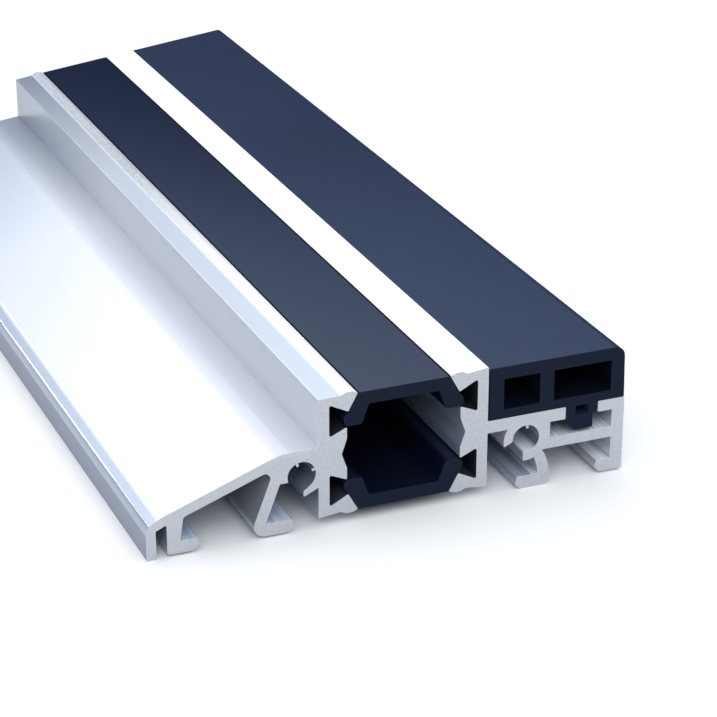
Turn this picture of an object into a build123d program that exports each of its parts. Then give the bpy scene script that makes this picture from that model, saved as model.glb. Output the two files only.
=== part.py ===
from build123d import *
from math import cos, radians, sin, tan
import os

# Sizes in millimetres. The section is drawn as seen on the front saw cut: x runs to the right from
# the middle of the thermal break, y is the height above the feet, and the length runs away from it.

# Whole sample
length = 172.0                  # along its longest edge, from the front cut to the far cut
far_cut_angle = 19.0            # the far end is sawn this far out of square
threshold_height = 20.0         # from the feet to the top of the walls
bearing_drop = 0.35             # the lip and the hooked foot carry the threshold, this far below the feet
core_width = 26.0               # between the outer faces of the two walls
corner_round = 0.15             # die radius on the small corners of the extrusions

# Walls of the core: each has two dovetail grooves, narrowed by hammers that are rolled onto the bars
wall_lift = 1.15                # lower edge of the walls above the feet
ramp_wall_top = 19.55           # the ramp's wall is a little lower outside its hammer
groove_web = 1.65               # wall left behind the grooves
groove_depth = 2.85             # up to the hammer's tip
groove_height = 4.95            # at the back of the groove
groove_round = 0.25
hammer_thickness = 1.55         # above the back of the groove
hammer_flank = 1.45             # how far the hammer's tip hangs below the back corner
hammer_width = 5.95             # from the wall's outer face to the hammer's edge
hammer_edge_drop = 0.35         # the rolled crown falls away to its edge
crown_start = 0.9               # from the hammer's edge to the level crown
crown_width = 0.9
hinge_notch_depth = 0.4         # line that the hammer bends along
hinge_notch_offset = 3.35       # from the wall's outer face
anvil_flank = 1.15              # how far the anvil's tip stands above the back corner
anvil_setback = 0.2             # the anvils stand back from the hammers' tips
waist_depth = 0.8               # shallow notch between the two anvils
waist_height = 4.6

# Insulating bars
crimp_gap = 0.1                 # between a bar and the aluminium that grips it
bar_recess = 0.35               # outer face of the bar below the hammers
bar_thickness = 1.95
bar_leg_width = 1.95
bar_leg_splay = 1.1             # the legs' inner faces lean outwards by this much
catch_reach = 0.6               # a catch on each leg reaches this far behind the hammer's tip
catch_top = 0.85                # from the hammer's tip down to the catch's outer face
catch_bottom = 0.45             # from the catch's outer face down to the end of the leg
catch_round = 0.3

# Ramp
ramp_reach = 25.4               # from the wall to the lip's outer face
ramp_angle = 19.8
ramp_thickness = 1.6
landing_height = 12.25          # level stretch between the ramp and the wall
landing_width = 5.7
knee_round = 8.0
nose_width = 2.2                # steeper facet above the lip
nose_angle = 31.0
nose_round = 1.2
lip_thickness = 1.4
lip_pocket_width = 1.6          # between the lip and the outer foot
lip_pocket_height = 4.0
lip_pocket_rise = 0.7           # up to the outer foot's leg

# Feet
foot_thickness = 1.9
toe_bevel = 0.8                 # on the lower edge of each toe
toe_rake = 0.25                 # the end of each toe leans out by this much
outer_foot_width = 4.7
outer_leg_top = 2.45
outer_leg_bottom = 1.9
outer_foot_round = 0.5
middle_leg_lean = 21.0          # from upright
middle_leg_thickness = 1.65
middle_leg_jaw = 5.75           # from the wall to the leg's right side, at the jaw's height
middle_toe_offset = 3.8         # from the wall to the tip of the toe
middle_foot_round = 1.7
middle_pocket_round = 0.85
hook_toe_top = 1.7
hook_toe_offset = 1.55          # from the inner port's centre to the tip of the hooked toe
hook_foot_width = 5.4
hook_foot_round = 0.8
hook_leg_width = 1.8
hook_leg_lean = 1.2             # the leg's root stands this far inside its heel
hook_leg_bow = 0.25

# Screw ports: open round channels with guide ribs, for self-tapping end screws
port_radius = 2.12
port_rib_width = 0.38
port_rib_depth = 0.5
ramp_port_offset = 2.5          # from the wall to the port's centre
ramp_port_height = 8.4
ramp_rib_angle = 20.0           # the second rib is a quarter turn further
leg_jaw_height = 7.68           # lower edge of the jaw beside the middle leg
leg_jaw_width = 1.0
wall_jaw_angle = 38.0           # rise of the face that the wall's jaw turns to the port
wall_jaw_length = 1.34
wall_jaw_tip = 0.9
wall_jaw_back_angle = 25.0
inner_port_offset = 6.15
inner_port_height = 7.65
inner_rib_angle = 84.0
port_shell = 1.4                # thickness of the inner port's jaws
free_jaw_drop = 0.15            # end of the upper jaw below the port's centre
free_jaw_angle = 26.0
lower_jaw_overhang = 0.4        # end of the lower jaw beyond the port's centre

# Inner profile
inner_reach = 22.0              # from the wall to the outer face
outer_wall = 2.0
shelf_height = 11.5             # seat of the cover
shelf_thickness = 1.9
far_shelf_thickness = 1.7
far_shelf_round = 0.3
far_shelf_reach = 2.3           # from the outer wall in to the clip slot
slot_width = 5.25
near_shelf_reach = 2.45         # from the clip slot back to the end of the cavity under it
web_height = 5.4                # underside of the lower web
web_thickness = 1.65
inner_foot_width = 4.5
inner_corner_round = 0.3

# Cover profile
cover_height = 8.1
cover_seat_gap = 0.05           # above the shelf, and below it at the barb
cover_side_gap = 0.12           # beside the wall and in the clip slot
cover_inset = 0.27              # behind the inner profile's outer face, at the top
cover_lean = 0.17               # the cover's right side leans out by this much down to its seat
cover_round = 1.6
cover_corner = 0.2
cover_floor = 1.35
cover_roof = 1.95
cover_left_side = 2.35
cover_left_chamber = 5.75
cover_middle_wall = 2.2
cover_right_side = 2.05
chamber_round = 0.15
clip_depth = 3.95               # below the cover's seat
clip_barb = 0.65                # catches under the near shelf
clip_step = 0.7                 # the clip is this much narrower below the far shelf
clip_step_height = 2.1
clip_shoulder = 0.7             # height of the slope above the step
clip_tip_width = 3.0
clip_hole_offset = 1.45
clip_hole_width = 2.25
clip_hole_height = 1.75
clip_hole_roof = 0.15           # above the hole, up to the cover's seat

# Places that follow from the sizes above
wall_face = core_width / 2
core_mid = (threshold_height + wall_lift) / 2
groove_back = wall_face - groove_web
groove_mouth = groove_back - groove_depth
groove_top = threshold_height - hammer_thickness
groove_bottom = groove_top - groove_height
hammer_edge = wall_face - hammer_width
hammer_tip = groove_top - hammer_flank
anvil_face = groove_mouth + anvil_setback
anvil_tip = groove_bottom + anvil_flank
overall_width = ramp_reach + core_width + inner_reach
section_shift = (ramp_reach - inner_reach) / 2

front_cut = Plane(origin=(section_shift, -length / 2, bearing_drop), x_dir=(1, 0, 0), z_dir=(0, -1, 0))
far_cut = Plane(
    origin=(overall_width / 2, length / 2, 0),
    z_dir=(-sin(radians(far_cut_angle)), cos(radians(far_cut_angle)), 0),
)
mid_height = Plane.XZ.offset(-core_mid)


def outline(*corners, mode=Mode.ADD):
    """Fill the closed outline through corners given as (x, y, radius)."""
    with BuildLine() as border:
        FilletPolyline(
            [(x, y) for x, y, radius in corners],
            radius=[radius for x, y, radius in corners],
            close=True,
        )
    make_face(border.edges(), mode=mode)


def saw_to_length():
    """Extrude the section away from the front cut and saw it off along the far cut."""
    extrude(amount=-length)
    split(bisect_by=far_cut, keep=Keep.BOTTOM)


def toe(tip, side, underside, top):
    """Corners of a bevelled toe that points to one side (1 or -1), from its lower edge up."""
    return (
        (tip - side * toe_bevel, underside, corner_round),
        (tip, underside + toe_bevel, corner_round),
        (tip - side * toe_rake, top, corner_round),
    )


def wall_half(outer_top):
    """Right-hand wall above mid height: hammer, groove and half of the anvils' waist."""
    outline(
        (wall_face, core_mid, 0),
        (wall_face, outer_top, corner_round),
        (wall_face - hinge_notch_offset, threshold_height - hinge_notch_depth, 0),
        (hammer_edge + crown_start + crown_width, threshold_height, groove_round),
        (hammer_edge + crown_start, threshold_height, groove_round),
        (hammer_edge, threshold_height - hammer_edge_drop, corner_round),
        (groove_mouth, hammer_tip, corner_round),
        (groove_back, groove_top, groove_round),
        (groove_back, groove_bottom, groove_round),
        (anvil_face, anvil_tip, corner_round),
        (anvil_face, core_mid + waist_height / 2, groove_round),
        (anvil_face + waist_depth, core_mid, 0),
    )


with BuildSketch() as lower_wall_half:
    wall_half(threshold_height)
    mirror(about=mid_height, mode=Mode.REPLACE)

# Ramp profile, drawn from the landing down over the nose and lip, then back along the feet
ramp_slope = tan(radians(ramp_angle))
leg_slope = tan(radians(middle_leg_lean))
lip_face = -wall_face - ramp_reach
lip_inside = lip_face + lip_thickness
knee_x = -wall_face - landing_width
nose_x = lip_face + nose_width
nose_height = landing_height - (knee_x - nose_x) * ramp_slope
outer_leg = lip_inside + lip_pocket_width
outer_leg_right = outer_leg + outer_leg_top
outer_toe = outer_leg + outer_foot_width
middle_toe = -wall_face - middle_toe_offset


def ramp_underside(x):
    """Height of the ramp's underside, parallel to its tread."""
    return landing_height - (knee_x - x) * ramp_slope - ramp_thickness / cos(radians(ramp_angle))


def middle_leg_right(y):
    """Right side of the leaning middle leg at one height."""
    return -wall_face - middle_leg_jaw - (leg_jaw_height - y) * leg_slope


def middle_leg_left(y):
    """Left side of the leaning middle leg at one height."""
    return middle_leg_right(y) - middle_leg_thickness / cos(radians(middle_leg_lean))


# The middle leg's left side meets the underside of the ramp here
pocket_x = (middle_leg_left(0) + ramp_underside(0) * leg_slope) / (1 - ramp_slope * leg_slope)
pocket_y = ramp_underside(pocket_x)

# The jaw on the wall turns a flat face to the port, tangent to its bore
ramp_port_x = -wall_face - ramp_port_offset
jaw_sin = sin(radians(wall_jaw_angle))
jaw_cos = cos(radians(wall_jaw_angle))
jaw_touch_x = ramp_port_x + port_radius * jaw_sin
jaw_touch_y = ramp_port_height - port_radius * jaw_cos
jaw_tip_x = jaw_touch_x - wall_jaw_length * jaw_cos
jaw_tip_y = jaw_touch_y - wall_jaw_length * jaw_sin
jaw_root_y = jaw_tip_y - wall_jaw_tip + (-wall_face - jaw_tip_x) * tan(radians(wall_jaw_back_angle))

with BuildPart() as ramp_profile:
    with BuildSketch(front_cut):
        wall_half(ramp_wall_top)
        add(lower_wall_half.sketch)
        mirror(about=Plane.YZ, mode=Mode.REPLACE)
        outline(
            (-groove_back, landing_height, 0),
            (knee_x, landing_height, knee_round),
            (nose_x, nose_height, corner_round),
            (lip_face, nose_height - nose_width * tan(radians(nose_angle)), nose_round),
            (lip_face, -bearing_drop, corner_round),
            (lip_inside, -bearing_drop, corner_round),
            (lip_inside, lip_pocket_height, corner_round),
            (outer_leg, lip_pocket_height + lip_pocket_rise, corner_round),
            (outer_leg, 0, outer_foot_round),
            *toe(outer_toe, 1, 0, foot_thickness),
            (outer_leg + outer_leg_bottom, foot_thickness, corner_round),
            (outer_leg_right, ramp_underside(outer_leg_right), outer_foot_round),
            (pocket_x, pocket_y, middle_pocket_round),
            (middle_leg_left(0), 0, middle_foot_round),
            *toe(middle_toe, 1, 0, foot_thickness),
            (middle_leg_right(foot_thickness), foot_thickness, corner_round),
            (middle_leg_right(leg_jaw_height), leg_jaw_height, corner_round),
            (middle_leg_right(leg_jaw_height) + leg_jaw_width, leg_jaw_height, corner_round),
            (ramp_port_x, ramp_port_height, 0),
            (jaw_touch_x, jaw_touch_y, 0),
            (jaw_tip_x, jaw_tip_y, corner_round),
            (jaw_tip_x, jaw_tip_y - wall_jaw_tip, corner_round),
            (-wall_face, jaw_root_y, 0),
            (-groove_back, jaw_root_y, 0),
        )
        with Locations((ramp_port_x, ramp_port_height)):
            Circle(port_radius, mode=Mode.SUBTRACT)
            with PolarLocations(port_radius, 2, start_angle=ramp_rib_angle, angular_range=180):
                Rectangle(2 * port_rib_depth, port_rib_width)
    saw_to_length()
ramp_profile.part.label = "ramp_profile"

# Inner profile: wall, cover shelf with its clip slot, screw port, lower web, hooked foot and outer foot
inner_face = wall_face + inner_reach
inner_side = inner_face - outer_wall
shelf_underside = shelf_height - shelf_thickness
far_shelf_underside = shelf_height - far_shelf_thickness
slot_right = inner_side - far_shelf_reach
slot_left = slot_right - slot_width
cavity_left = slot_left - near_shelf_reach
web_top = web_height + web_thickness
inner_toe = inner_face - inner_foot_width
port_x = wall_face + inner_port_offset
port_outer = port_radius + port_shell
mouth_reach = port_outer + port_shell
free_jaw_y = inner_port_height - free_jaw_drop
mouth_slope = tan(radians(free_jaw_angle))
hook_toe = port_x - hook_toe_offset
hook_heel = hook_toe + hook_foot_width
hook_inside = hook_heel - hook_leg_width

with BuildPart() as inner_profile:
    with BuildSketch(front_cut):
        wall_half(threshold_height)
        add(lower_wall_half.sketch)
        outline(
            (groove_back, shelf_height, 0),
            (slot_left, shelf_height, corner_round),
            (slot_left, shelf_underside, corner_round),
            (cavity_left, shelf_underside, corner_round),
            (cavity_left, web_top, corner_round),
            (inner_side, web_top, corner_round),
            (inner_side, far_shelf_underside, corner_round),
            (slot_right, far_shelf_underside, far_shelf_round),
            (slot_right, shelf_height, corner_round),
            (inner_face, shelf_height, corner_round),
            (inner_face, 0, inner_corner_round),
            *toe(inner_toe, -1, 0, foot_thickness),
            (inner_side, foot_thickness, corner_round),
            (inner_side, web_height, corner_round),
            (port_x, web_height, 0),
            (port_x, shelf_underside, 0),
            (groove_back, shelf_underside, 0),
        )
        outline(
            (hook_inside, hook_toe_top, 0),
            (hook_heel, hook_toe_top, 0),
            (hook_heel, -bearing_drop, hook_foot_round),
            *toe(hook_toe, -1, -bearing_drop, hook_toe_top),
        )
        with BuildLine():
            outside = SagittaArc(
                (hook_heel - hook_leg_lean, web_height), (hook_heel, hook_toe_top), hook_leg_bow
            )
            inside = SagittaArc(
                (hook_inside, hook_toe_top), (hook_inside - hook_leg_lean, web_height), -hook_leg_bow
            )
            Line(outside @ 1, inside @ 0)
            Line(inside @ 1, outside @ 0)
        make_face()
        with Locations((port_x, inner_port_height)):
            Circle(port_outer)
            Circle(port_radius, mode=Mode.SUBTRACT)
        outline(
            (port_x - lower_jaw_overhang, inner_port_height, 0),
            (port_x - port_radius, free_jaw_y, 0),
            (port_x - mouth_reach, free_jaw_y - (mouth_reach - port_radius) * mouth_slope, 0),
            (port_x - mouth_reach, inner_port_height - mouth_reach, 0),
            (port_x - lower_jaw_overhang, inner_port_height - mouth_reach, 0),
            mode=Mode.SUBTRACT,
        )
        with Locations((port_x, inner_port_height)):
            with PolarLocations(port_radius, 1, start_angle=inner_rib_angle):
                Rectangle(2 * port_rib_depth, port_rib_width)
    saw_to_length()
inner_profile.part.label = "inner_profile"

# Insulating bar: a channel whose legs stand on the anvils, held by the hammers behind their catches
bar_face = threshold_height - bar_recess
bar_inside = bar_face - bar_thickness
leg_end = anvil_tip + crimp_gap
hammer_slope = (groove_mouth - hammer_edge) / (threshold_height - hammer_edge_drop - hammer_tip)
bar_edge = hammer_edge + (threshold_height - hammer_edge_drop - bar_face) * hammer_slope - crimp_gap
bar_neck = groove_mouth - crimp_gap
catch_face = groove_mouth + catch_reach
leg_inside = bar_neck - bar_leg_width

with BuildSketch() as bar_section:
    outline(
        (0, bar_face, 0),
        (bar_edge, bar_face, corner_round),
        (bar_neck, hammer_tip - crimp_gap, 0),
        (catch_face, hammer_tip - catch_top, catch_round),
        (catch_face, leg_end + catch_bottom, catch_round),
        (catch_face - catch_bottom, leg_end, corner_round),
        (leg_inside, leg_end, corner_round),
        (leg_inside - bar_leg_splay, bar_inside, corner_round),
        (0, bar_inside, 0),
    )
    mirror(about=Plane.YZ)

with BuildPart() as upper_insulating_bar:
    with BuildSketch(front_cut):
        add(bar_section.sketch)
    saw_to_length()
upper_insulating_bar.part.label = "upper_insulating_bar"

with BuildPart() as lower_insulating_bar:
    with BuildSketch(front_cut):
        add(bar_section.sketch)
        mirror(about=mid_height, mode=Mode.REPLACE)
    saw_to_length()
lower_insulating_bar.part.label = "lower_insulating_bar"

# Cover: a two-chamber strip on the shelf, held by a snap clip in the shelf's slot
cover_left = wall_face + cover_side_gap
cover_right = inner_face - cover_inset
cover_seat = shelf_height + cover_seat_gap
cover_top = cover_seat + cover_height
chamber_floor = cover_seat + cover_floor
chamber_roof = cover_top - cover_roof
first_chamber = cover_left + cover_left_side
second_chamber = first_chamber + cover_left_chamber + cover_middle_wall
clip_left = slot_left + cover_side_gap
clip_right = slot_right - cover_side_gap
clip_end = cover_seat - clip_depth
clip_step_x = clip_right - clip_step
barb_top = shelf_underside - cover_seat_gap
hole_left = clip_left + clip_hole_offset
hole_top = cover_seat - clip_hole_roof


def chamber(left, right, floor, roof):
    """Cut one closed chamber out of the cover."""
    outline(
        (left, floor, chamber_round),
        (right, floor, chamber_round),
        (right, roof, chamber_round),
        (left, roof, chamber_round),
        mode=Mode.SUBTRACT,
    )


with BuildPart() as cover_profile:
    with BuildSketch(front_cut):
        outline(
            (cover_left, cover_top, cover_corner),
            (cover_right, cover_top, cover_round),
            (cover_right + cover_lean, cover_seat, cover_corner),
            (clip_right, cover_seat, 0),
            (clip_right, clip_end + clip_step_height + clip_shoulder, 0),
            (clip_step_x, clip_end + clip_step_height, 0),
            (clip_step_x, clip_end, cover_corner),
            (clip_step_x - clip_tip_width, clip_end, cover_corner),
            (clip_left - clip_barb, barb_top, 0),
            (clip_left, barb_top, 0),
            (clip_left, cover_seat, 0),
            (cover_left, cover_seat, cover_corner),
        )
        chamber(first_chamber, first_chamber + cover_left_chamber, chamber_floor, chamber_roof)
        chamber(second_chamber, cover_right - cover_right_side, chamber_floor, chamber_roof)
        chamber(hole_left, hole_left + clip_hole_width, hole_top - clip_hole_height, hole_top)
    saw_to_length()
cover_profile.part.label = "cover_profile"

os.makedirs("parts", exist_ok=True)
export_step(ramp_profile.part, "parts/ramp_profile.step")
export_step(inner_profile.part, "parts/inner_profile.step")
export_step(upper_insulating_bar.part, "parts/upper_insulating_bar.step")
export_step(lower_insulating_bar.part, "parts/lower_insulating_bar.step")
export_step(cover_profile.part, "parts/cover_profile.step")
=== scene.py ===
from math import pi, radians

import bmesh
import bpy
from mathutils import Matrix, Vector

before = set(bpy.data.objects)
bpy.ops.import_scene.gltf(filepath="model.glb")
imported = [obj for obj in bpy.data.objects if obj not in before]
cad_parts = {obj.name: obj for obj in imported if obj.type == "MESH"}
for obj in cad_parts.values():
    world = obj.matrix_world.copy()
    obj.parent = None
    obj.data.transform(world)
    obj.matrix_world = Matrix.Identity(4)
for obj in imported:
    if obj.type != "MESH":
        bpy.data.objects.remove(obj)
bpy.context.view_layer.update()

bl_info = {
    "name": "Door Threshold Sample",
    "version": (1, 0, 0),
    "blender": (4, 5, 0),
    "location": "3D View > Sidebar > Threshold",
    "description": "Finishes a sawn sample of a thermally broken door threshold and sets it in a pale studio",
    "category": "Object",
}

# The core between the two walls, in the sample's own place, in metres
CORE_MIDDLE_X = 0.0017
CORE_MIDDLE_Z = 0.010925
BAR_EDGE = 0.00695              # from the core's middle to the edge of a bar's outer face


def region(left, right, low, high, axes=("x", "z")):
    """Steps that mark what lies between four bounds, with a soft border."""
    blur = 0.00003
    steps = []
    for axis, start, end in ((axes[0], left, right), (axes[1], low, high)):
        steps += [(axis, start - blur, start + blur), (axis, end + blur, end - blur)]
    return steps


def core_region(near, far, low, high):
    """The same by the distances beside the core's middle, and above or below it."""
    return region(near, far, low, high, ("aside", "away"))


# Faces with a finish of their own, or with painted light or shade, as steps: an axis, where the mark starts
# and where it is full.
# x, y and z are in metres. turned_x and turned_z go from -1, for a face that looks left or down,
# to 1, for one that looks right or up.

# The ramp's front edge: its upright side and the round above, both darkened with painted shade, the facet
# over that, and part of the facet, lightened with a painted highlight
LIP_SIDE = [("x", -0.0364, -0.0366), ("turned_x", -0.95, -0.99), ("z", 0.0040, 0.0037)]
LIP_BAND = [("x", -0.0359, -0.0361), ("turned_x", -0.70, -0.80)]
NOSE = [("x", -0.0343, -0.0346), ("turned_x", -0.4, -0.48)]
NOSE_HIGHLIGHT = NOSE + [("x", -0.0353, -0.0348)]

# The flat behind the ramp with the wall's outer face, darkened with painted shade, the wall's top beside its
# crown, and the far end, darkened with painted shade
LANDING = [("x", -0.0186, -0.0172), ("x", -0.01122, -0.01126), ("z", 0.0119, 0.0120),
           ("turned_z", -0.2, -0.1), ("z", 0.0200, 0.0199)]
WALL_TOP = region(-0.0114, -0.0078, 0.0196, 0.0200) + [("turned_z", 0.5, 0.6)]
FAR_END_SHADE = [("y", 0.01, 0.072), ("x", -0.0076, -0.0078)]

# The rolled crowns of the two walls, and of the ramp's one its rear, darkened with painted shade, and the
# foot of its outer flank, where that shade is fainter
RAMP_CROWN = [("z", 0.01998, 0.02004), ("x", 0.001, -0.001), ("turned_z", 0.5, 0.7)]
INNER_CROWN = [("z", 0.01985, 0.01988), ("x", -0.001, 0.001), ("turned_z", 0.5, 0.7)]
FAR_CROWN_SHADE = [("y", -0.042, 0.012), ("x", 0.001, -0.001)]
CROWN_FLANK = region(-0.0080, -0.0077, 0.0200, 0.0203)

# Floors of the channels, lightened with painted light, and among them those on the ramp's side and in the
# hooked foot, darkened with painted shade
LEVEL_FLOORS = [("z", 0.0119, 0.0117), ("x", -0.0352, -0.0350), ("turned_z", 0.955, 0.975)]
CUPPED_FLOORS = [("z", 0.0119, 0.0117), ("x", -0.0112, -0.0110), ("turned_z", 0.6, 0.92)]
RAMP_CHANNEL = [("x", -0.0110, -0.0112)]
FOOT_CHANNEL = region(0.0196, 0.0219, 0.001, 0.004)

# Hollows that little light reaches, darkened with painted shade
UNDER_RAMP = region(-0.0352, -0.0110, -0.001, 0.0119) + [("turned_z", 0.35, 0.25)]
RAMP_PORT = region(-0.0166, -0.0111, 0.0062, 0.0113)
INNER_PORT = region(0.0185, 0.0232, 0.0057, 0.0103) + [("turned_z", 0.9, 0.5)]
HOOKED_FOOT = region(0.0148, 0.0232, -0.001, 0.0057) + [("turned_z", 0.9, 0.5)]

# The walls' waists on the core, lightened with a painted blue reflection, and the metal in the joint beside
# each bar and beside the cover, darkened with painted shade
CORE_FACE_REFLECTION = core_region(0.0080, 0.0098, -0.001, 0.0041)
BEHIND_BAR = core_region(0.0069, 0.0088, 0.0041, 0.00905)
GROOVE = core_region(0.00875, 0.0115, 0.0029, 0.00795)
BESIDE_COVER = region(0.01465, 0.01475, 0.0119, 0.0200)

# The plastic: what lies in a joint, inside the core and in the cover's chambers, darkened with painted shade,
# or looks right
BAR_JOINT = core_region(BAR_EDGE - 0.00012, BAR_EDGE + 0.0001, 0.0085, 0.0095)
BESIDE_WALL = region(0.0147, 0.01495, 0.0115, 0.0195)
INSIDE_CORE = core_region(-0.001, 0.0070, -0.001, 0.0080)
COVER_CHAMBERS = region(0.0171, 0.0345, 0.0132, 0.0181)
LOOKS_RIGHT = [("turned_x", 0.15, 0.4)]

# Tones of the aluminium on those faces
# Painted shade on the lip's upright side and on the round above it
LIP_SIDE_SHADE_TONE = (0.27, 0.30, 0.385)
LIP_BAND_SHADE_TONE = (0.42, 0.46, 0.57)
NOSE_TONE = (0.78, 0.82, 0.87)
# Painted highlight on part of the nose facet
NOSE_HIGHLIGHT_TONE = (0.95, 0.95, 0.97)
# Painted shade on the landing and the wall's outer face
LANDING_SHADE_TONE = (0.66, 0.685, 0.745)
WALL_TOP_TONE = (0.77, 0.82, 0.88)
# Painted shade at the far end of the ramp, darker still on the landing and the wall's top
FAR_END_SHADE_TONE = (0.48, 0.52, 0.60)
FAR_LANDING_SHADE_TONE = (0.36, 0.40, 0.48)
# Knurled grain darkened with painted shade, on the rear of the ramp wall's crown
KNURL_GRAIN_AND_SHADE_TONES = ((0.31, 0.33, 0.38), (0.59, 0.61, 0.67))
# Painted light on the channel floor, streaked along the die lines
FLOOR_LIGHT_TONES = ((0.66, 0.73, 0.80), (1.0, 1.0, 1.0))
# Painted shade on the channel floor: bluer on the ramp's side, darker in the hooked foot
RAMP_CHANNEL_SHADE_TONE = (0.23, 0.42, 0.80)
FOOT_CHANNEL_SHADE_TONE = (0.17, 0.24, 0.33)
# Painted shade in the hollows
HOLLOW_SHADE_TONE = (0.40, 0.46, 0.56)
# Painted blue reflection on the walls' waists on the core
CORE_REFLECTION_TONE = (0.70, 0.80, 1.0)
# Painted shade on the metal in the joint beside each bar and beside the cover
JOINT_SHADE_TONE = (0.03, 0.035, 0.05)

# Tones of the plastic
# Painted shade on the plastic in a joint, inside the core and in the cover's chambers
PLASTIC_SHADE_TONE = (0.001, 0.0015, 0.003)
# Rubbed plastic edges, with a painted highlight
RUBBED_EDGE_HIGHLIGHT_TONE = (0.12, 0.13, 0.16)
DUST_TONE = (0.45, 0.47, 0.5)


# What a user would change

class AluminiumSettings(bpy.types.PropertyGroup):
    die_colour: bpy.props.FloatVectorProperty(
        name="Die face colour", description="Aluminium as it leaves the die",
        subtype="COLOR", size=3, min=0, max=1, default=(0.79, 0.81, 0.86))
    sawn_colour: bpy.props.FloatVectorProperty(
        name="Sawn face colour", description="Aluminium where the saw has cut it",
        subtype="COLOR", size=3, min=0, max=1, default=(0.57, 0.595, 0.635))
    rolled_colour: bpy.props.FloatVectorProperty(
        name="Rolled crown colour",
        description="Aluminium on top of the walls, where the rollers have pressed it",
        subtype="COLOR", size=3, min=0, max=1, default=(0.9, 0.91, 0.94))
    # Edges: worn metal, with a painted highlight
    edge_highlight_colour: bpy.props.FloatVectorProperty(
        name="Edge colour", description="Bright metal along the edges",
        subtype="COLOR", size=3, min=0, max=1, default=(0.92, 0.93, 0.96))
    die_roughness: bpy.props.FloatProperty(
        name="Die face roughness", description="How much the die faces blur what they mirror",
        subtype="FACTOR", min=0, max=1, default=0.2)
    rolled_roughness: bpy.props.FloatProperty(
        name="Rolled crown roughness", description="How much the rolled crowns blur what they mirror",
        subtype="FACTOR", min=0, max=1, default=0.6)
    sawn_roughness: bpy.props.FloatProperty(
        name="Sawn face roughness", description="How much the sawn faces blur what they mirror",
        subtype="FACTOR", min=0, max=1, default=0.5)
    die_line_spacing: bpy.props.FloatProperty(
        name="Die line spacing", description="Between the fine lines that the die draws along the length",
        unit="LENGTH", min=0.00005, max=0.01, precision=5, default=0.0004)
    saw_pitch: bpy.props.FloatProperty(
        name="Saw mark pitch", description="Between the arcs that the saw's teeth leave",
        unit="LENGTH", min=0.0001, max=0.01, precision=5, default=0.0007)
    edge_break: bpy.props.FloatProperty(
        name="Edge break", description="Width of the rounding on the edges",
        unit="LENGTH", min=0.00001, max=0.002, precision=5, default=0.00018)


class PlasticSettings(bpy.types.PropertyGroup):
    bar_colour: bpy.props.FloatVectorProperty(
        name="Bar colour", description="Glass-filled plastic of the insulating bars",
        subtype="COLOR", size=3, min=0, max=1, default=(0.0078, 0.0122, 0.033))
    cover_colour: bpy.props.FloatVectorProperty(
        name="Cover colour", description="Plastic of the clip-on cover",
        subtype="COLOR", size=3, min=0, max=1, default=(0.024, 0.034, 0.072))
    sawn_colour: bpy.props.FloatVectorProperty(
        name="Sawn face colour", description="Plastic where the saw has cut it",
        subtype="COLOR", size=3, min=0, max=1, default=(0.0095, 0.0135, 0.026))
    bar_roughness: bpy.props.FloatProperty(
        name="Bar roughness", description="How matt the insulating bars are",
        subtype="FACTOR", min=0, max=1, default=0.1)
    cover_roughness: bpy.props.FloatProperty(
        name="Cover roughness", description="How matt the cover is",
        subtype="FACTOR", min=0, max=1, default=0.14)
    grain_size: bpy.props.FloatProperty(
        name="Grain size", description="Size of the fine grain on the plastic",
        unit="LENGTH", min=0.00005, max=0.01, precision=5, default=0.00025)
    dust: bpy.props.FloatProperty(
        name="Dust", description="How much fine dust lies on the plastic",
        subtype="FACTOR", min=0, max=1, default=0.03)


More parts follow.
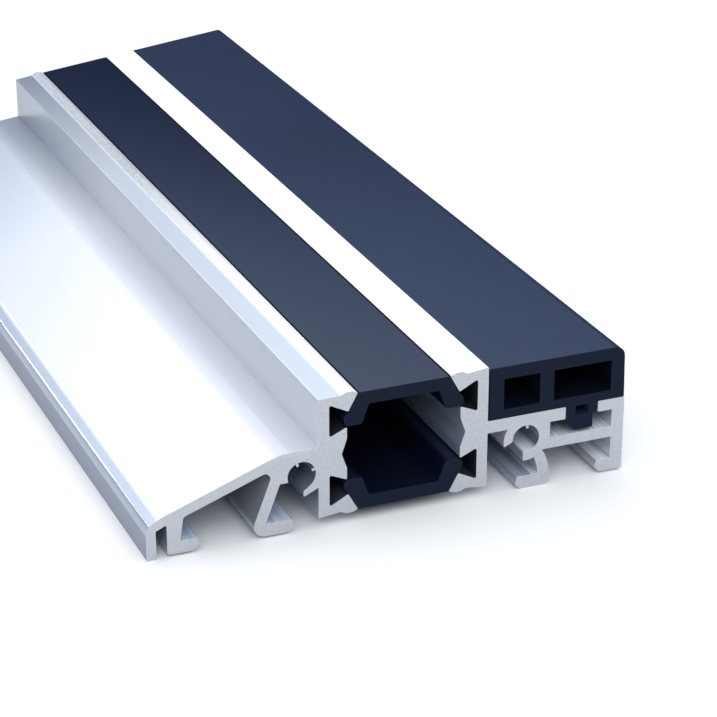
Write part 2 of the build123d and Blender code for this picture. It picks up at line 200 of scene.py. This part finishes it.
class StageSettings(bpy.types.PropertyGroup):
    camera_place: bpy.props.FloatVectorProperty(
        name="Camera place", description="Where the camera stands",
        subtype="XYZ", unit="LENGTH", size=3, default=(-0.1240, -0.3714, 0.1642))
    camera_tilt: bpy.props.FloatProperty(
        name="Camera tilt", description="How far the camera looks down from level",
        subtype="ANGLE", default=radians(24.22))
    camera_turn: bpy.props.FloatProperty(
        name="Camera turn", description="How far the camera is turned to the right of the length",
        subtype="ANGLE", default=radians(22.59))
    camera_lens: bpy.props.FloatProperty(
        name="Lens", description="Focal length on a frame 36 mm wide, in millimetres",
        min=10, max=500, default=123.8)
    floor_colour: bpy.props.FloatVectorProperty(
        name="Floor colour", description="Pale studio floor",
        subtype="COLOR", size=3, min=0, max=1, default=(0.83, 0.83, 0.83))
    dome_colour: bpy.props.FloatVectorProperty(
        name="Dome colour", description="Soft light from above",
        subtype="COLOR", size=3, min=0, max=1, default=(1.0, 1.0, 1.0))
    haze_colour: bpy.props.FloatVectorProperty(
        name="Haze colour", description="Cool light between the horizon and the dome",
        subtype="COLOR", size=3, min=0, max=1, default=(0.61, 0.74, 1.0))
    horizon_colour: bpy.props.FloatVectorProperty(
        name="Horizon colour", description="Dim, cool room behind the lights",
        subtype="COLOR", size=3, min=0, max=1, default=(0.4, 0.6, 1.0))
    near_colour: bpy.props.FloatVectorProperty(
        name="Near colour", description="Light near the horizon on the sawn end's side",
        subtype="COLOR", size=3, min=0, max=1, default=(0.86, 0.92, 1.0))
    dome_light: bpy.props.FloatProperty(
        name="Dome light", description="Strength of the soft light from above",
        min=0, max=5, default=1.5)
    haze_light: bpy.props.FloatProperty(
        name="Haze light", description="Strength of the cool light between the horizon and the dome",
        min=0, max=5, default=0.95)
    horizon_light: bpy.props.FloatProperty(
        name="Horizon light", description="Strength of the dim light near the horizon",
        min=0, max=5, default=0.04)
    near_light: bpy.props.FloatProperty(
        name="Near light", description="Strength of the light near the horizon on the sawn end's side",
        min=0, max=5, default=0.4)
    key_light: bpy.props.FloatProperty(
        name="Key light", description="Power of the large soft lamp over the sample, in watts",
        min=0, max=100, default=0.12)
    front_light: bpy.props.FloatProperty(
        name="Front light", description="Power of the soft lamp that fills the sawn end, in watts",
        min=0, max=100, default=3.2)
    side_light: bpy.props.FloatProperty(
        name="Side light", description="Power of the low soft lamp on the left, in watts",
        min=0, max=100, default=0.09)


# Node trees

def add_node(tree, kind, inputs=None, **settings):
    """Adds a node, with its settings, and its inputs set to values or linked to sockets."""
    node = tree.nodes.new(kind)
    for name, value in settings.items():
        setattr(node, name, value)
    for name, value in (inputs or {}).items():
        if isinstance(value, bpy.types.NodeSocket):
            tree.links.new(value, node.inputs[name])
        else:
            node.inputs[name].default_value = value
    return node


def do_math(tree, operation, first, *others):
    """Works on one value, or takes several together from left to right."""
    if not others:
        return add_node(tree, "ShaderNodeMath", {0: first}, operation=operation).outputs[0]
    for other in others:
        first = add_node(tree, "ShaderNodeMath", {0: first, 1: other}, operation=operation).outputs[0]
    return first


def multiply(tree, *values):
    return do_math(tree, "MULTIPLY", *values)


def strongest(tree, *values):
    return do_math(tree, "MAXIMUM", *values)


def spread(tree, value, low, high, to_low=0.0, to_high=1.0):
    """Maps a value from one range to another, held inside it."""
    inputs = {"Value": value, "From Min": low, "From Max": high, "To Min": to_low, "To Max": to_high}
    return add_node(tree, "ShaderNodeMapRange", inputs).outputs["Result"]


def sharpen(tree, noise, reach):
    """Sharpens a noise: it is 0 from this far below a half, and 1 from this far above it."""
    return spread(tree, noise, 0.5 - reach, 0.5 + reach)


def waver(tree, noise, middle, most):
    """A value that a noise moves up and down round its middle, by this much at most."""
    reach = 0.2                 # how far the noise goes from a half before it is held
    return spread(tree, noise, 0.5 - reach, 0.5 + reach, middle - most, middle + most)


def add_noise(tree, point, rate, detail, roughness=0.5):
    """A noise of 0 to 1 whose spots come at this rate a metre."""
    inputs = {"Vector": point, "Scale": rate, "Detail": detail, "Roughness": roughness}
    return add_node(tree, "ShaderNodeTexNoise", inputs).outputs["Fac"]


def blend_colours(tree, share, first, second):
    mixer = add_node(tree, "ShaderNodeMix", data_type="RGBA")
    for place, value in (("Factor_Float", share), ("A_Color", first), ("B_Color", second)):
        socket = next(s for s in mixer.inputs if s.identifier == place)
        if isinstance(value, bpy.types.NodeSocket):
            tree.links.new(value, socket)
        elif place == "Factor_Float":
            socket.default_value = value
        else:
            socket.default_value = (*value, 1.0)
    return next(s for s in mixer.outputs if s.identifier == "Result_Color")


def blend_values(tree, share, first, second):
    inputs = {0: share, 2: first, 3: second}
    return add_node(tree, "ShaderNodeMix", inputs, data_type="FLOAT").outputs[0]


def lay_over(tree, blend, base, *layers):
    """Lays colours or values over a base, one after another, each as strongly as its mark says."""
    for mark, layer in layers:
        base = blend(tree, mark, base, layer)
    return base


def shade(colour, share):
    """A colour made darker by a share under 1, or brighter by one over 1."""
    return [c * share for c in colour]


def split(tree, vector):
    return add_node(tree, "ShaderNodeSeparateXYZ", {0: vector}).outputs


def vector_math(tree, operation, first, second):
    return add_node(tree, "ShaderNodeVectorMath", {0: first, 1: second}, operation=operation).outputs


def find_place(tree):
    """The point on the surface, and where it lies and how it is turned, by the names in the steps."""
    coordinates = add_node(tree, "ShaderNodeTexCoord").outputs
    place = split(tree, coordinates["Object"])
    turned = split(tree, coordinates["Normal"])
    at = {"x": place["X"], "y": place["Y"], "z": place["Z"], "turned_x": turned["X"], "turned_z": turned["Z"]}
    at["aside"] = do_math(tree, "ABSOLUTE", do_math(tree, "SUBTRACT", place["X"], CORE_MIDDLE_X))
    at["away"] = do_math(tree, "ABSOLUTE", do_math(tree, "SUBTRACT", place["Z"], CORE_MIDDLE_Z))
    return coordinates["Object"], at


def mark_faces(tree, at, steps, share=1.0):
    """Marks the faces where all the steps are taken, as strongly as the share says."""
    return multiply(tree, share, *(spread(tree, at[axis], start, full) for axis, start, full in steps))


def start_group(name, inputs, outputs):
    """Starts a node group with number sockets: inputs have a default, outputs only a name."""
    group = bpy.data.node_groups.new(name, "ShaderNodeTree")
    for socket_name, default in inputs.items():
        socket = group.interface.new_socket(socket_name, in_out="INPUT", socket_type="NodeSocketFloat")
        socket.default_value = default
    for socket_name in outputs:
        group.interface.new_socket(socket_name, in_out="OUTPUT", socket_type="NodeSocketFloat")
    return group, group.nodes.new("NodeGroupInput").outputs, group.nodes.new("NodeGroupOutput").inputs


def use_group(tree, group, **inputs):
    """Places a node group in a material, with the material's own values on its inputs."""
    named = {name.capitalize(): value for name, value in inputs.items()}
    return add_node(tree, "ShaderNodeGroup", named, node_tree=group).outputs


def die_line_group():
    """Fine lines along the length, as a die draws them, and broader bands between them."""
    name = "Die Lines"
    if name in bpy.data.node_groups:
        return bpy.data.node_groups[name]
    group, given, out = start_group(name, {"Spacing": 0.0004}, ("Lines", "Bands"))
    along = 2.5                 # the lines drift a little in this many waves a metre
    bands_in_line = 0.14        # a band is about seven lines wide
    point = add_node(group, "ShaderNodeTexCoord").outputs["Object"]
    fine = do_math(group, "DIVIDE", 1.0, given["Spacing"])
    broad = multiply(group, fine, bands_in_line)
    for label, rate, detail in (("Lines", fine, 2.0), ("Bands", broad, 3.0)):
        stretch = add_node(group, "ShaderNodeCombineXYZ", {"X": rate, "Y": along, "Z": rate}).outputs[0]
        drawn_out = vector_math(group, "MULTIPLY", point, stretch)["Vector"]
        group.links.new(add_noise(group, drawn_out, 1.0, detail), out[label])
    return group


def saw_cut_group():
    """Marks the sawn ends, with the arcs of the saw's teeth and a fine mottle."""
    name = "Saw Cut"
    if name in bpy.data.node_groups:
        return bpy.data.node_groups[name]
    group, given, out = start_group(name, {"Pitch": 0.0007}, ("Cut", "Arcs", "Mottle"))
    across = (1.0, 0.0, 1.0)        # the arcs lie in the section, whatever the length
    saw_centre = Vector((0.06, 0.0, -0.14))
    arcs_in_pitch = 2 * pi / 20     # a wave texture has this length at a scale of 1
    looks_along = (0.75, 0.85)      # a sawn face looks along the length, this much or more
    mottle_rate = 3600.0
    coordinates = add_node(group, "ShaderNodeTexCoord").outputs
    turned = do_math(group, "ABSOLUTE", split(group, coordinates["Normal"])["Y"])
    group.links.new(spread(group, turned, *looks_along), out["Cut"])
    flat = vector_math(group, "MULTIPLY", coordinates["Object"], across)["Vector"]
    from_saw = vector_math(group, "SUBTRACT", flat, saw_centre)["Vector"]
    rate = do_math(group, "DIVIDE", arcs_in_pitch, given["Pitch"])
    uneven = {"Distortion": 6.0, "Detail": 4.0, "Detail Scale": 0.8}
    arcs = add_node(group, "ShaderNodeTexWave", {"Vector": from_saw, "Scale": rate, **uneven},
                    wave_type="RINGS", rings_direction="SPHERICAL")
    group.links.new(arcs.outputs["Fac"], out["Arcs"])
    mottle = add_noise(group, coordinates["Object"], mottle_rate, 4.0, roughness=0.6)
    group.links.new(mottle, out["Mottle"])
    return group


def edge_group():
    """Marks the narrow band along an edge, where it is broken or rubbed and where a painted highlight is
    laid.
    """
    name = "Worn Edges"
    if name in bpy.data.node_groups:
        return bpy.data.node_groups[name]
    group, given, out = start_group(name, {"Width": 0.0002}, ("Edge",))
    likeness = (0.995, 0.85)        # of the rounded and the true normal, from off the edge to on it
    rounded = add_node(group, "ShaderNodeBevel", {"Radius": given["Width"]}, samples=6).outputs["Normal"]
    true = add_node(group, "ShaderNodeNewGeometry").outputs["Normal"]
    alike = vector_math(group, "DOT_PRODUCT", rounded, true)["Value"]
    group.links.new(spread(group, alike, *likeness), out["Edge"])
    return group


def cloud_group():
    """Slow, faint changes over a surface, as handling and storage leave them."""
    name = "Clouding"
    if name in bpy.data.node_groups:
        return bpy.data.node_groups[name]
    group, given, out = start_group(name, {"Size": 0.02}, ("Cloud",))
    point = add_node(group, "ShaderNodeTexCoord").outputs["Object"]
    rate = do_math(group, "DIVIDE", 1.0, given["Size"])
    group.links.new(add_noise(group, point, rate, 4.0), out["Cloud"])
    return group


def dust_group():
    """Sparse fine specks that lie on faces turned up."""
    name = "Dust Specks"
    if name in bpy.data.node_groups:
        return bpy.data.node_groups[name]
    group, given, out = start_group(name, {"Amount": 0.1}, ("Dust",))
    speck_rate = 1500.0
    speck_tips = (0.64, 0.74)       # only the peaks of the noise are specks
    looks_up = (0.5, 0.9)
    coordinates = add_node(group, "ShaderNodeTexCoord").outputs
    sparse = spread(group, add_noise(group, coordinates["Object"], speck_rate, 2.0), *speck_tips)
    lying = spread(group, split(group, coordinates["Normal"])["Z"], *looks_up)
    group.links.new(multiply(group, sparse, lying, given["Amount"]), out["Dust"])
    return group


def start_material(name):
    material = bpy.data.materials.new(name)
    material.use_nodes = True
    tree = material.node_tree
    tree.nodes.clear()
    shader = tree.nodes.new("ShaderNodeBsdfPrincipled")
    output = tree.nodes.new("ShaderNodeOutputMaterial")
    tree.links.new(shader.outputs[0], output.inputs["Surface"])
    return material, tree, shader.inputs


def lift_surface(tree, shader, height, depth):
    """Feeds a height of 0 to 1, this many metres deep, to the shader's normal."""
    bump = add_node(tree, "ShaderNodeBump", {"Height": height, "Distance": depth, "Strength": 1.0})
    tree.links.new(bump.outputs[0], shader["Normal"])


# Aluminium

def die_face_colour(tree, bands, values):
    """Plain die metal, with bands along the length and slow changes."""
    cloud_share = 0.4
    cloud = use_group(tree, cloud_group(), size=0.03)["Cloud"]
    tone = sharpen(tree, blend_values(tree, cloud_share, bands, cloud), reach=0.15)
    return blend_colours(tree, tone, shade(values.die_colour, 0.97), values.die_colour)


def sawn_face_colour(tree, mottle, values):
    """Duller sawn metal with a fine mottle."""
    tone = sharpen(tree, mottle, reach=0.2)
    return blend_colours(tree, tone, shade(values.sawn_colour, 0.8), values.sawn_colour)


def crown_colour(tree, point, at, values):
    """Pale rolled metal. The rear half of the ramp wall's crown shows the grain of the knurled wheel,
    darkened with painted shade.
    """
    knurl_rate = 4800.0
    flank_share = 0.5           # how much of the grain is left at the foot of the crown's outer flank
    grain = sharpen(tree, add_noise(tree, point, knurl_rate, 2.0), reach=0.08)
    knurled = blend_colours(tree, grain, *KNURL_GRAIN_AND_SHADE_TONES)
    fainter = blend_values(tree, mark_faces(tree, at, CROWN_FLANK), 1.0, flank_share)
    far_crown_shade = multiply(tree, mark_faces(tree, at, FAR_CROWN_SHADE), fainter)
    return blend_colours(tree, far_crown_shade, values.rolled_colour, knurled)


def painted_floor_light(tree, at, lines):
    """Painted light on the channel floor, streaked along the die lines, with a bluer painted shade on the
    ramp's side and a darker one in the hooked foot.
    """
    streaked = blend_colours(tree, sharpen(tree, lines, reach=0.12), *FLOOR_LIGHT_TONES)
    return lay_over(tree, blend_colours, streaked,
                    (mark_faces(tree, at, RAMP_CHANNEL, share=0.35), RAMP_CHANNEL_SHADE_TONE),
                    (mark_faces(tree, at, FOOT_CHANNEL, share=0.7), FOOT_CHANNEL_SHADE_TONE))


def mill_aluminium(values):
    """Extruded aluminium: satin die faces with lines along them, duller sawn ends, bright edges."""
    material, tree, shader = start_material("mill_aluminium_finish")
    point, at = find_place(tree)
    die = use_group(tree, die_line_group(), spacing=values.die_line_spacing)
    saw = use_group(tree, saw_cut_group(), pitch=values.saw_pitch)
    edge = use_group(tree, edge_group(), width=values.edge_break)["Edge"]

    lip_side, lip_band, nose, nose_highlight, landing, wall_top, far_end_shade, core_reflection = (
        mark_faces(tree, at, steps) for steps in
        (LIP_SIDE, LIP_BAND, NOSE, NOSE_HIGHLIGHT, LANDING, WALL_TOP, FAR_END_SHADE, CORE_FACE_REFLECTION))
    far_landing_shade = multiply(tree, far_end_shade, strongest(tree, landing, wall_top))
    rolled = strongest(tree, mark_faces(tree, at, INNER_CROWN), mark_faces(tree, at, RAMP_CROWN, share=0.9))
    painted_lit_floors = strongest(tree, mark_faces(tree, at, LEVEL_FLOORS), mark_faces(tree, at, CUPPED_FLOORS))
    # Painted shade in the grooves and gaps beside the bars and the cover
    joint_shade = strongest(tree, *(mark_faces(tree, at, steps) for steps in (BEHIND_BAR, GROOVE, BESIDE_COVER)))
    hollow_shade = strongest(tree,
                        mark_faces(tree, at, UNDER_RAMP, share=0.85),
                        mark_faces(tree, at, RAMP_PORT, share=0.85),
                        mark_faces(tree, at, INNER_PORT, share=0.8),
                        mark_faces(tree, at, HOOKED_FOOT, share=0.6))

    far_share = 0.85            # how strongly the far end is toned
    drawn_edge = 0.12           # how strongly edges shine on die faces and on sawn ones
    sawn_edge = 0.2
    edge_share = blend_values(tree, saw["Cut"], drawn_edge, sawn_edge)
    open_faces = do_math(tree, "SUBTRACT", 1.0, joint_shade)
    colour = lay_over(tree, blend_colours, die_face_colour(tree, die["Bands"], values),
                      # painted shade at the far end, darker still on the landing and the wall's top
                      (multiply(tree, far_end_shade, far_share), FAR_END_SHADE_TONE),
                      # painted shade on the landing and the wall's outer face
                      (landing, LANDING_SHADE_TONE),
                      (wall_top, WALL_TOP_TONE),
                      (far_landing_shade, FAR_LANDING_SHADE_TONE),
                      (nose, NOSE_TONE),
                      # painted highlight on part of the nose facet
                      (nose_highlight, NOSE_HIGHLIGHT_TONE),
                      # painted shade on the lip's round and upright side
                      (lip_band, LIP_BAND_SHADE_TONE),
                      (lip_side, LIP_SIDE_SHADE_TONE),
                      (rolled, crown_colour(tree, point, at, values)),
                      # painted shade in the hollows
                      (hollow_shade, HOLLOW_SHADE_TONE),
                      # painted light on the channel floor, with painted shade on the ramp's side and in the
                      # hooked foot
                      (painted_lit_floors, painted_floor_light(tree, at, die["Lines"])),
                      # painted blue reflection on the walls' waists
                      (core_reflection, CORE_REFLECTION_TONE),
                      # painted shade in the joint beside each bar and beside the cover
                      (joint_shade, JOINT_SHADE_TONE),
                      (saw["Cut"], sawn_face_colour(tree, saw["Mottle"], values)),
                      # worn edges, with a painted highlight
                      (multiply(tree, edge, edge_share, open_faces), values.edge_highlight_colour))
    tree.links.new(colour, shader["Base Color"])

    landing_roughness = 0.3
    band_roughness = 0.4
    side_roughness = 0.5
    joint_roughness = 0.7
    roughness = lay_over(tree, blend_values, waver(tree, die["Lines"], values.die_roughness, 0.015),
                         (landing, landing_roughness),
                         (lip_band, band_roughness),
                         (lip_side, side_roughness),
                         (joint_shade, joint_roughness),
                         (rolled, values.rolled_roughness),
                         (saw["Cut"], waver(tree, saw["Mottle"], values.sawn_roughness, 0.06)))
    tree.links.new(roughness, shader["Roughness"])

    clean_metal = 0.76          # how much the clean faces and the chalky ones mirror as metal
    chalky_metal = 0.25
    landing_share = 0.5         # how chalky the landing and the wall's top are
    part_chalky = multiply(tree, do_math(tree, "ADD", landing, wall_top), landing_share)
    chalky = strongest(tree, rolled, painted_lit_floors, lip_band, nose_highlight, part_chalky)
    tree.links.new(blend_values(tree, chalky, clean_metal, chalky_metal), shader["Metallic"])

    mark_depth = 0.0000012
    line_share = 0.12           # depth of the die lines beside that of the saw marks
    mottle_share = 0.6          # how much of a saw mark is mottle, beside the saw's arcs
    drawn_height = multiply(tree, die["Lines"], line_share)
    sawn_height = blend_values(tree, mottle_share, saw["Arcs"], saw["Mottle"])
    lift_surface(tree, shader, blend_values(tree, saw["Cut"], drawn_height, sawn_height), mark_depth)
    return material


# Plastic

def black_plastic(name, values, colour, roughness, gloss):
    """Extruded black plastic: fine grain, faint lines along it, a little dust, marked sawn ends."""
    material, tree, shader = start_material(name)
    shader["Specular IOR Level"].default_value = 0.0
    shader["Coat IOR"].default_value = 1.5
    shader["Coat Roughness"].default_value = roughness
    point, at = find_place(tree)
    die = use_group(tree, die_line_group(), spacing=0.0006)
    saw = use_group(tree, saw_cut_group(), pitch=0.0005)
    edge = use_group(tree, edge_group(), width=0.00015)["Edge"]
    cloud = use_group(tree, cloud_group(), size=0.05)["Cloud"]
    dust = use_group(tree, dust_group(), amount=values.dust)["Dust"]
    grain = add_noise(tree, point, 1 / values.grain_size, 3.0)
    hidden = strongest(tree,
                       mark_faces(tree, at, BAR_JOINT),
                       mark_faces(tree, at, COVER_CHAMBERS, share=0.85),
                       mark_faces(tree, at, INSIDE_CORE, share=0.55))

    moulded = blend_colours(tree, sharpen(tree, cloud, reach=0.15), shade(colour, 0.88), colour)
    scored = spread(tree, saw["Arcs"], 0.5, 1.0)            # the upper half of each arc
    sawn = blend_colours(tree, scored, values.sawn_colour, shade(values.sawn_colour, 1.1))
    open_faces = spread(tree, hidden, 0.0, 0.5, 1.0, 0.0)   # no dust lies where half or more is hidden
    # The pale rubbed edges are wear with a painted highlight
    rub_share = 0.1             # how pale the rubbed edges are
    colour = lay_over(tree, blend_colours, moulded,
                      # painted shade in a joint, inside the core and in the cover's chambers
                      (hidden, PLASTIC_SHADE_TONE),
                      (saw["Cut"], sawn),
                      # painted shade on the cover's side beside the wall
                      (mark_faces(tree, at, BESIDE_WALL), PLASTIC_SHADE_TONE),
                      # rubbed edges, with a painted highlight
                      (multiply(tree, edge, rub_share), RUBBED_EDGE_HIGHLIGHT_TONE),
                      (multiply(tree, dust, open_faces), DUST_TONE))
    tree.links.new(colour, shader["Base Color"])

    dull_gloss = 0.05           # what is left of the gloss on dull and sawn faces
    dull = strongest(tree, hidden, mark_faces(tree, at, LOOKS_RIGHT))
    shine = lay_over(tree, blend_values, gloss, (dull, dull_gloss), (saw["Cut"], dull_gloss))
    tree.links.new(shine, shader["Coat Weight"])

    sawn_roughness = 0.6
    moulded_roughness = waver(tree, grain, roughness, 0.05)
    tree.links.new(blend_values(tree, saw["Cut"], moulded_roughness, sawn_roughness), shader["Roughness"])

    mark_depth = 0.00001
    line_share = 0.25           # how much of the height is die lines, beside the grain
    grain_share = 0.5           # how much of it is grain on the sawn ends, beside the saw's arcs
    moulded_height = blend_values(tree, line_share, grain, die["Lines"])
    sawn_height = blend_values(tree, grain_share, saw["Arcs"], grain)
    lift_surface(tree, shader, blend_values(tree, saw["Cut"], moulded_height, sawn_height), mark_depth)
    return material


def finish_nodes(material, *names):
    """Gives CAD nodes their finish."""
    for name in names:
        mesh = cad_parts[name].data
        mesh.materials.clear()
        mesh.materials.append(material)


# Stage

def lay_floor(values):
    half_width = 12.0
    shape = bmesh.new()
    bmesh.ops.create_grid(shape, x_segments=1, y_segments=1, size=half_width)
    mesh = bpy.data.meshes.new("studio_floor")
    shape.to_mesh(mesh)
    shape.free()
    floor = bpy.data.objects.new("studio_floor", mesh)
    bpy.context.scene.collection.objects.link(floor)
    mesh.materials.append(floor_finish(values))


def floor_finish(values):
    """Matt white paper, with slow, faint changes of tone."""
    material, tree, shader = start_material("studio_floor_finish")
    shader["Roughness"].default_value = 0.7
    shader["Specular IOR Level"].default_value = 0.2
    cloud = use_group(tree, cloud_group(), size=0.4)["Cloud"]
    colour = blend_colours(tree, cloud, shade(values.floor_colour, 0.985), values.floor_colour)
    tree.links.new(colour, shader["Base Color"])
    return material


def light_room(scene, values):
    """A soft white dome over a cool haze, over a dim horizon that is brighter on the sawn end's side."""
    rise_aside = -0.25          # dome and haze hang lowest along the length, and climb to the two sides
    haze_edge = (0.245, 0.33)   # where each starts and where it is full, as a share of straight up
    dome_edge = (0.39, 0.445)
    near_edge = (-0.1, -0.5)    # the same for the near side, as a share of straight along the length
    world = bpy.data.worlds.new("studio_room")
    scene.world = world
    world.use_nodes = True
    tree = world.node_tree
    tree.nodes.clear()
    outward = split(tree, add_node(tree, "ShaderNodeTexCoord").outputs["Generated"])
    aside = multiply(tree, do_math(tree, "ABSOLUTE", outward["X"]), rise_aside)
    height = do_math(tree, "ADD", outward["Z"], aside)
    near = spread(tree, outward["Y"], *near_edge)
    haze = spread(tree, height, *haze_edge)
    dome = spread(tree, height, *dome_edge)
    colour = lay_over(tree, blend_colours, values.horizon_colour,
                      (near, values.near_colour), (haze, values.haze_colour), (dome, values.dome_colour))
    strength = lay_over(tree, blend_values, values.horizon_light,
                        (near, values.near_light), (haze, values.haze_light), (dome, values.dome_light))
    background = add_node(tree, "ShaderNodeBackground", {"Color": colour, "Strength": strength})
    output = tree.nodes.new("ShaderNodeOutputWorld")
    tree.links.new(background.outputs[0], output.inputs["Surface"])


def hang_lamp(name, place, width, depth, power, colour=(1.0, 1.0, 1.0)):
    """Hangs a soft lamp, in metres and watts, that looks at the middle of the sample."""
    aim = Vector((0.0, 0.0, 0.01))
    lamp = bpy.data.lights.new(name, "AREA")
    lamp.shape = "RECTANGLE"
    lamp.size = width
    lamp.size_y = depth
    lamp.energy = power
    lamp.color = colour
    holder = bpy.data.objects.new(name, lamp)
    bpy.context.scene.collection.objects.link(holder)
    holder.location = place
    holder.rotation_euler = (aim - Vector(place)).to_track_quat("-Z", "Y").to_euler()


def hang_lamps(values):
    hang_lamp("key_lamp", place=(0.15, 0.2, 0.8), width=0.5, depth=0.5, power=values.key_light)
    hang_lamp("front_lamp", place=(-0.25, -0.72, 0.62), width=0.8, depth=0.5, power=values.front_light,
              colour=(0.88, 0.94, 1.0))
    hang_lamp("side_lamp", place=(-0.337, 0.677, 0.26), width=0.07, depth=0.07, power=values.side_light)


def set_camera(scene, values):
    level = pi / 2              # a camera that isn't turned looks straight down
    lens = bpy.data.cameras.new("camera")
    lens.lens = values.camera_lens
    lens.sensor_width = 36.0
    lens.clip_start = 0.01
    camera = bpy.data.objects.new("camera", lens)
    scene.collection.objects.link(camera)
    camera.location = values.camera_place
    camera.rotation_euler = (level - values.camera_tilt, 0.0, -values.camera_turn)
    scene.camera = camera


# Operators, one for each group of like pieces and one for the stage

class THRESHOLD_OT_finish_aluminium(bpy.types.Operator):
    """Gives the ramp profile and the inner profile their mill finish and sawn ends"""
    bl_idname = "threshold.finish_aluminium"
    bl_label = "Finish Aluminium Profiles"

    def execute(self, context):
        finish_nodes(mill_aluminium(context.scene.threshold_aluminium), "ramp_profile", "inner_profile")
        return {"FINISHED"}


class THRESHOLD_OT_finish_bars(bpy.types.Operator):
    """Gives the two insulating bars their smooth black finish"""
    bl_idname = "threshold.finish_bars"
    bl_label = "Finish Insulating Bars"

    def execute(self, context):
        values = context.scene.threshold_plastic
        material = black_plastic("black_bar_finish", values, colour=values.bar_colour,
                                 roughness=values.bar_roughness, gloss=1.0)
        finish_nodes(material, "upper_insulating_bar", "lower_insulating_bar")
        return {"FINISHED"}


class THRESHOLD_OT_finish_cover(bpy.types.Operator):
    """Gives the clip-on cover its satin black finish"""
    bl_idname = "threshold.finish_cover"
    bl_label = "Finish Cover Profile"

    def execute(self, context):
        values = context.scene.threshold_plastic
        material = black_plastic("black_cover_finish", values, colour=values.cover_colour,
                                 roughness=values.cover_roughness, gloss=0.6)
        finish_nodes(material, "cover_profile")
        return {"FINISHED"}


class THRESHOLD_OT_build_stage(bpy.types.Operator):
    """Lays the pale floor, lights it softly and sets up the camera"""
    bl_idname = "threshold.build_stage"
    bl_label = "Build Stage"

    def execute(self, context):
        values = context.scene.threshold_stage
        lay_floor(values)
        light_room(context.scene, values)
        hang_lamps(values)
        set_camera(context.scene, values)
        context.scene.view_settings.view_transform = "Standard"
        return {"FINISHED"}


class THRESHOLD_PT_panel(bpy.types.Panel):
    """Shows the settings, and under them the operators in their order"""
    bl_idname = "THRESHOLD_PT_panel"
    bl_label = "Door Threshold"
    bl_space_type = "VIEW_3D"
    bl_region_type = "UI"
    bl_category = "Threshold"

    def draw(self, context):
        layout = self.layout
        for group in SETTINGS:
            values = getattr(context.scene, group)
            section = layout.box()
            for name in values.__annotations__:
                section.prop(values, name)
        for operator in OPERATORS:
            layout.operator(operator.bl_idname)


SETTINGS = {
    "threshold_aluminium": AluminiumSettings,
    "threshold_plastic": PlasticSettings,
    "threshold_stage": StageSettings,
}
OPERATORS = (
    THRESHOLD_OT_finish_aluminium,
    THRESHOLD_OT_finish_bars,
    THRESHOLD_OT_finish_cover,
    THRESHOLD_OT_build_stage,
)


def register():
    for name, group in SETTINGS.items():
        bpy.utils.register_class(group)
        setattr(bpy.types.Scene, name, bpy.props.PointerProperty(type=group))
    for operator in OPERATORS:
        bpy.utils.register_class(operator)
    bpy.utils.register_class(THRESHOLD_PT_panel)


def unregister():
    bpy.utils.unregister_class(THRESHOLD_PT_panel)
    for operator in reversed(OPERATORS):
        bpy.utils.unregister_class(operator)
    for name, group in reversed(SETTINGS.items()):
        delattr(bpy.types.Scene, name)
        bpy.utils.unregister_class(group)


def main():
    register()
    bpy.ops.threshold.finish_aluminium()
    bpy.ops.threshold.finish_bars()
    bpy.ops.threshold.finish_cover()
    bpy.ops.threshold.build_stage()


if __name__ == "__main__":
    main()
